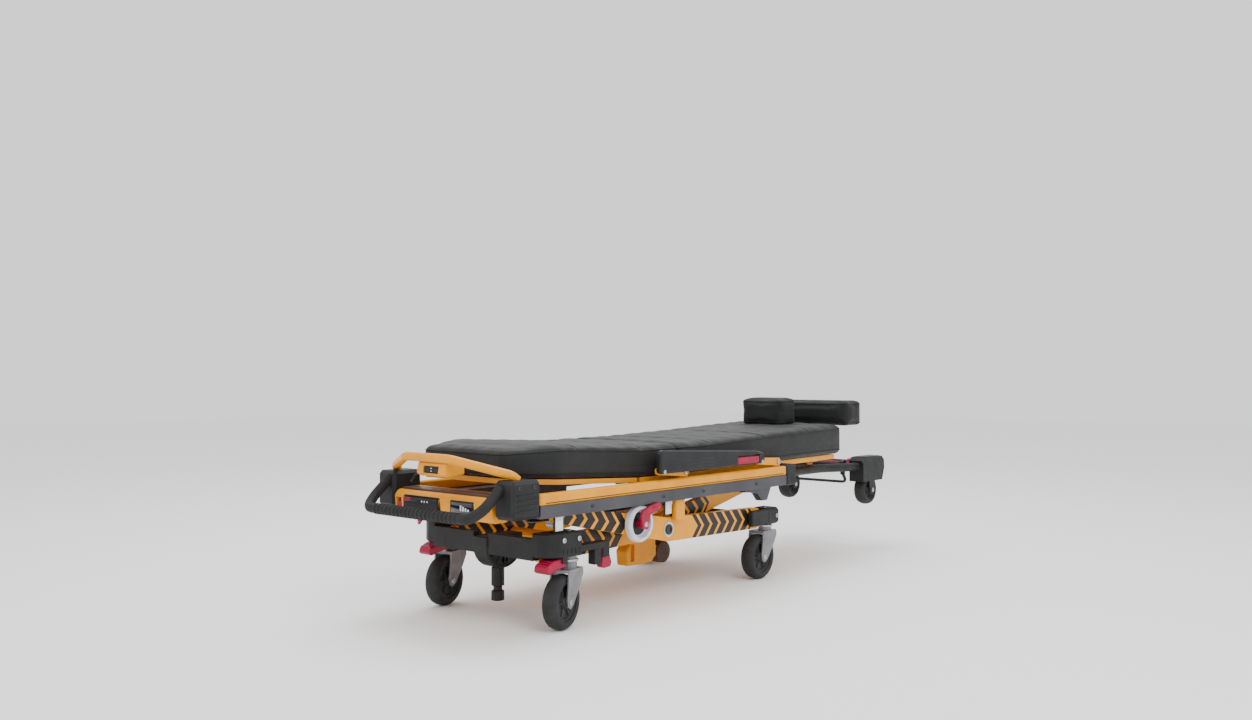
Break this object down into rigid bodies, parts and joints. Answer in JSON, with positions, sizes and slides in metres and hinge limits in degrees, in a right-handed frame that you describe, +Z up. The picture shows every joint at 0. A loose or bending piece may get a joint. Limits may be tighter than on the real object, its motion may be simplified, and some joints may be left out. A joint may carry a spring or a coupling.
{
  "type": "powered ambulance cot",
  "caption": "Powered ambulance cot, lowered: litter with mattress, scissor legs, four swivel casters, folding siderails and a telescoping head section with load wheels.",
  "frame": {"origin": "on the floor under the middle of the cot's outline, with the cot lowered and its head section drawn out", "axes": "+X towards the patient's head, +Y towards the patient's right, +Z up"},
  "size_m": [2.2847, 0.593, 0.6138],
  "materials": {
    "painted_amber": "satin amber powder coat",
    "black_plastic": "fine-grained charcoal moulding",
    "grey_track": "dark anodised extrusion",
    "mattress": "matt charcoal coated fabric",
    "red_plastic": "crimson moulding",
    "steel": "bright steel",
    "fork_grey": "light grey paint",
    "tyre": "dark grey solid tread",
    "ring_grey": "pale grey moulding"
  },
  "bodies": {
    "litter": {"rail_track_left": "grey_track", "rail_track_right": "grey_track", "side_rail_left": "painted_amber", "side_rail_right": "painted_amber", "foot_corner_left": "black_plastic", "foot_corner_right": "black_plastic", "head_end_casting": "black_plastic", "mid_guide": "grey_track", "lower_lift_bar": "black_plastic", "upper_lift_bar": "painted_amber", "control_box": "painted_amber", "console_housing": "painted_amber", "seat_deck": "painted_amber", "seat_cushion": "mattress"},
    "battery_pack": {"battery_pack": "black_plastic"},
    "manual_release": {"manual_release_lever": "red_plastic"},
    "height_switch": {"height_switch": "black_plastic"},
    "leg_section": {"leg_deck": "painted_amber", "leg_cushion": "mattress"},
    "backrest": {"back_deck": "painted_amber", "back_cushion": "mattress", "head_pillow": "mattress"},
    "backrest_release": {"backrest_release_bar": "red_plastic"},
    "head_extension": {"head_extension_bracket": "black_plastic", "head_extension_pad": "mattress"},
    "foot_arm_left": {"siderail_foot_arm_left": "painted_amber"},
    "head_arm_left": {"siderail_head_arm_left": "painted_amber"},
    "siderail_bar_left": {"siderail_bar_left": "black_plastic"},
    "siderail_latch_left": {"siderail_latch_left": "red_plastic"},
    "foot_arm_right": {"siderail_foot_arm_right": "painted_amber"},
    "head_arm_right": {"siderail_head_arm_right": "painted_amber"},
    "siderail_bar_right": {"siderail_bar_right": "black_plastic"},
    "siderail_latch_right": {"siderail_latch_right": "red_plastic"},
    "head_section": {"head_section_frame": "black_plastic"},
    "load_wheel_left": {"load_wheel_left": "tyre"},
    "load_wheel_right": {"load_wheel_right": "tyre"},
    "safety_bar": {"safety_bar": "steel"},
    "head_release": {"head_release_handle": "red_plastic"},
    "inner_legs": {"inner_leg_frame": "painted_amber"},
    "outer_legs": {"outer_leg_frame": "painted_amber", "power_unit": "painted_amber", "leg_lock_ring": "ring_grey"},
    "leg_lock": {"leg_lock_lever": "red_plastic"},
    "foot_base": {"foot_base": "black_plastic", "post_bracket": "black_plastic", "retaining_post": "black_plastic"},
    "head_base": {"head_base": "black_plastic"},
    "cylinder_barrel": {"cylinder_barrel": "steel"},
    "cylinder_rod": {"cylinder_rod": "steel"},
    "swivel_foot_left": {"caster_fork_foot_left": "fork_grey"},
    "wheel_foot_left": {"caster_wheel_foot_left": "tyre"},
    "swivel_foot_right": {"caster_fork_foot_right": "fork_grey"},
    "wheel_foot_right": {"caster_wheel_foot_right": "tyre"},
    "swivel_head_left": {"caster_fork_head_left": "fork_grey"},
    "wheel_head_left": {"caster_wheel_head_left": "tyre"},
    "swivel_head_right": {"caster_fork_head_right": "fork_grey"},
    "wheel_head_right": {"caster_wheel_head_right": "tyre"},
    "brake_left": {"brake_pedal_left": "red_plastic"},
    "brake_right": {"brake_pedal_right": "red_plastic"},
    "steer_lock": {"steer_lock_pedal": "red_plastic"}
  },
  "joints": [
    {"name": "legs_raise", "type": "hinge", "parent": "litter", "child": "inner_legs", "pos_m": [0.128, 0, 0.3125], "axis": [0, -1, 0], "range_deg": [0, 42]},
    {"name": "legs_scissor", "type": "hinge", "parent": "inner_legs", "child": "outer_legs", "pos_m": [-0.352, 0, 0.2225], "axis": [0, -1, 0], "range_deg": [-84, 0]},
    {"name": "foot_base_level", "type": "hinge", "parent": "inner_legs", "child": "foot_base", "pos_m": [-0.832, 0, 0.21], "axis": [0, -1, 0], "range_deg": [-42, 0]},
    {"name": "head_base_level", "type": "hinge", "parent": "outer_legs", "child": "head_base", "pos_m": [0.128, 0, 0.21], "axis": [0, -1, 0], "range_deg": [0, 42]},
    {"name": "barrel_pivot", "type": "hinge", "parent": "inner_legs", "child": "cylinder_barrel", "pos_m": [-0.10223, 0, 0.24695], "axis": [0, -1, 0], "range_deg": [-42, 0]},
    {"name": "rod_pivot", "type": "hinge", "parent": "outer_legs", "child": "cylinder_rod", "pos_m": [-0.60177, 0, 0.24695], "axis": [0, -1, 0], "range_deg": [0, 42]},
    {"name": "leg_lock_turn", "type": "hinge", "parent": "outer_legs", "child": "leg_lock", "pos_m": [-0.51, -0.28, 0.258], "axis": [0, 1, 0], "range_deg": [0, 60]},
    {"name": "battery_slide", "type": "slide", "parent": "litter", "child": "battery_pack", "axis": [-1, 0, 0], "range_m": [0, 0.062]},
    {"name": "manual_release_pull", "type": "hinge", "parent": "litter", "child": "manual_release", "pos_m": [-1.021, 0.185, 0.338], "axis": [0, 1, 0], "range_deg": [0, 25], "stiffness_Nm_per_rad": 0.5},
    {"name": "height_switch_rock", "type": "hinge", "parent": "litter", "child": "height_switch", "pos_m": [-1.085, -0.02, 0.442], "axis": [0, 1, 0], "range_deg": [-8, 8], "stiffness_Nm_per_rad": 0.3},
    {"name": "leg_section_raise", "type": "hinge", "parent": "litter", "child": "leg_section", "pos_m": [-0.462, 0, 0.388], "axis": [0, 1, 0], "range_deg": [0, 15]},
    {"name": "backrest_raise", "type": "hinge", "parent": "litter", "child": "backrest", "pos_m": [-0.112, 0, 0.388], "axis": [0, -1, 0], "range_deg": [0, 72]},
    {"name": "backrest_release_squeeze", "type": "hinge", "parent": "backrest", "child": "backrest_release", "pos_m": [0.66818, 0, 0.36445], "axis": [0, -1, 0], "range_deg": [0, 8], "stiffness_Nm_per_rad": 0.8},
    {"name": "head_extension_lower", "type": "hinge", "parent": "backrest", "child": "head_extension", "pos_m": [0.74804, 0, 0.385], "axis": [0, 1, 0], "range_deg": [0, 20]},
    {"name": "siderail_foot_arm_fold_left", "type": "hinge", "parent": "litter", "child": "foot_arm_left", "pos_m": [-0.287, -0.268, 0.397], "axis": [0, 1, 0], "range_deg": [0, 86]},
    {"name": "siderail_head_arm_fold_left", "type": "hinge", "parent": "litter", "child": "head_arm_left", "pos_m": [0.243, -0.268, 0.397], "axis": [0, 1, 0], "range_deg": [0, 86]},
    {"name": "siderail_bar_level_left", "type": "hinge", "parent": "foot_arm_left", "child": "siderail_bar_left", "pos_m": [-0.42167, -0.27, 0.40642], "axis": [0, 1, 0], "range_deg": [-86, 0]},
    {"name": "siderail_latch_press_left", "type": "slide", "parent": "siderail_bar_left", "child": "siderail_latch_left", "axis": [0, 0, 1], "range_m": [0, 0.004], "stiffness_N_per_m": 400},
    {"name": "siderail_foot_arm_fold_right", "type": "hinge", "parent": "litter", "child": "foot_arm_right", "pos_m": [-0.287, 0.268, 0.397], "axis": [0, 1, 0], "range_deg": [0, 86]},
    {"name": "siderail_head_arm_fold_right", "type": "hinge", "parent": "litter", "child": "head_arm_right", "pos_m": [0.243, 0.268, 0.397], "axis": [0, 1, 0], "range_deg": [0, 86]},
    {"name": "siderail_bar_level_right", "type": "hinge", "parent": "foot_arm_right", "child": "siderail_bar_right", "pos_m": [-0.42167, 0.27, 0.40642], "axis": [0, 1, 0], "range_deg": [-86, 0]},
    {"name": "siderail_latch_press_right", "type": "slide", "parent": "siderail_bar_right", "child": "siderail_latch_right", "axis": [0, 0, 1], "range_m": [0, 0.004], "stiffness_N_per_m": 400},
    {"name": "head_section_retract", "type": "slide", "parent": "litter", "child": "head_section", "axis": [-1, 0, 0], "range_m": [0, 0.35]},
    {"name": "load_wheel_spin_left", "type": "hinge", "parent": "head_section", "child": "load_wheel_left", "pos_m": [1.036, -0.182, 0.232], "axis": [0, 1, 0], "continuous": true},
    {"name": "load_wheel_spin_right", "type": "hinge", "parent": "head_section", "child": "load_wheel_right", "pos_m": [1.036, 0.182, 0.232], "axis": [0, 1, 0], "continuous": true},
    {"name": "safety_bar_lift", "type": "hinge", "parent": "head_section", "child": "safety_bar", "pos_m": [0.953, 0, 0.33], "axis": [0, 1, 0], "range_deg": [0, 35], "stiffness_Nm_per_rad": 1},
    {"name": "head_release_squeeze", "type": "hinge", "parent": "head_section", "child": "head_release", "pos_m": [1.113, 0, 0.33], "axis": [0, 1, 0], "range_deg": [0, 15], "stiffness_Nm_per_rad": 1.5},
    {"name": "caster_swivel_foot_left", "type": "hinge", "parent": "foot_base", "child": "swivel_foot_left", "pos_m": [-0.7885, -0.2465, 0.18], "axis": [0, 0, 1], "continuous": true},
    {"name": "caster_spin_foot_left", "type": "hinge", "parent": "swivel_foot_left", "child": "wheel_foot_left", "pos_m": [-0.83197, -0.25815, 0.07594], "axis": [-0.2588, 0.9659, 0], "continuous": true},
    {"name": "caster_swivel_foot_right", "type": "hinge", "parent": "foot_base", "child": "swivel_foot_right", "pos_m": [-0.7885, 0.2465, 0.18], "axis": [0, 0, 1], "continuous": true},
    {"name": "caster_spin_foot_right", "type": "hinge", "parent": "swivel_foot_right", "child": "wheel_foot_right", "pos_m": [-0.83197, 0.23485, 0.07594], "axis": [-0.2588, 0.9659, 0], "continuous": true},
    {"name": "caster_swivel_head_left", "type": "hinge", "parent": "head_base", "child": "swivel_head_left", "pos_m": [0.1945, -0.2465, 0.18], "axis": [0, 0, 1], "continuous": true},
    {"name": "caster_spin_head_left", "type": "hinge", "parent": "swivel_head_left", "child": "wheel_head_left", "pos_m": [0.1495, -0.2465, 0.07594], "axis": [0, 1, 0], "continuous": true},
    {"name": "caster_swivel_head_right", "type": "hinge", "parent": "head_base", "child": "swivel_head_right", "pos_m": [0.1945, 0.2465, 0.18], "axis": [0, 0, 1], "continuous": true},
    {"name": "caster_spin_head_right", "type": "hinge", "parent": "swivel_head_right", "child": "wheel_head_right", "pos_m": [0.1495, 0.2465, 0.07594], "axis": [0, 1, 0], "continuous": true},
    {"name": "brake_pedal_press_left", "type": "hinge", "parent": "foot_base", "child": "brake_left", "pos_m": [-0.836, -0.2465, 0.189], "axis": [0, -1, 0], "range_deg": [0, 6], "stiffness_Nm_per_rad": 4},
    {"name": "brake_pedal_press_right", "type": "hinge", "parent": "foot_base", "child": "brake_right", "pos_m": [-0.836, 0.2465, 0.189], "axis": [0, -1, 0], "range_deg": [0, 6], "stiffness_Nm_per_rad": 4},
    {"name": "steer_lock_press", "type": "hinge", "parent": "foot_base", "child": "steer_lock", "pos_m": [-0.654, -0.249, 0.186], "axis": [0, 1, 0], "range_deg": [0, 6], "stiffness_Nm_per_rad": 4}
  ],
  "couplings": [
    {"joint": "legs_scissor", "follows": "legs_raise", "ratio": -2},
    {"joint": "foot_base_level", "follows": "legs_raise", "ratio": -1},
    {"joint": "head_base_level", "follows": "legs_raise", "ratio": 1},
    {"joint": "barrel_pivot", "follows": "legs_raise", "ratio": -1},
    {"joint": "rod_pivot", "follows": "legs_raise", "ratio": 1},
    {"joint": "siderail_head_arm_fold_left", "follows": "siderail_foot_arm_fold_left", "ratio": 1},
    {"joint": "siderail_bar_level_left", "follows": "siderail_foot_arm_fold_left", "ratio": -1},
    {"joint": "siderail_head_arm_fold_right", "follows": "siderail_foot_arm_fold_right", "ratio": 1},
    {"joint": "siderail_bar_level_right", "follows": "siderail_foot_arm_fold_right", "ratio": -1}
  ]
}
